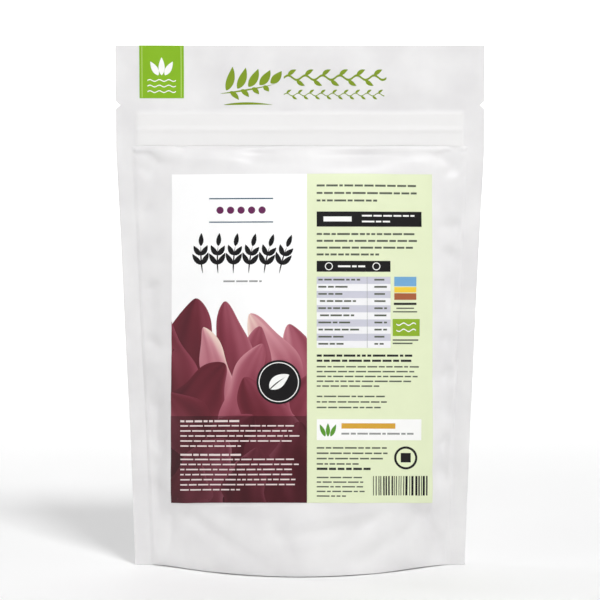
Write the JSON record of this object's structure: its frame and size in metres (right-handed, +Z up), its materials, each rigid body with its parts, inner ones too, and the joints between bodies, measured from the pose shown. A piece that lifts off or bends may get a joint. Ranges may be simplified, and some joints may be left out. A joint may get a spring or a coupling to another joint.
{
  "type": "stand-up pouch",
  "caption": "Sealed white film stand-up pouch with a round-bottom gusset, press-to-close zip, tear notches and stuck-on labels, filled with dried forked seaweed fronds.",
  "frame": {"origin": "middle of the base, on the surface that the pouch stands on", "axes": "+Z up, the front with its label faces -Y, +X to the right of someone looking at the front"},
  "size_m": [0.18, 0.0672, 0.2555],
  "materials": {
    "film": "satin white film",
    "zip": "translucent white extrusion",
    "label": "coated printed label stock",
    "tag": "coated printed label stock",
    "frond": "dry, leathery, wrinkled"
  },
  "bodies": {
    "root": {"front_film": "film", "back_film": "film", "bottom_gusset": "film", "zip_rib_strip": "zip", "zip_channel_strip": "zip", "front_label": "label", "green_tag": "tag", "dulse_frond_1": "frond", "dulse_frond_2": "frond", "dulse_frond_3": "frond", "dulse_frond_4": "frond", "dulse_frond_5": "frond", "dulse_frond_6": "frond", "dulse_frond_7": "frond"}
  },
  "joints": []
}
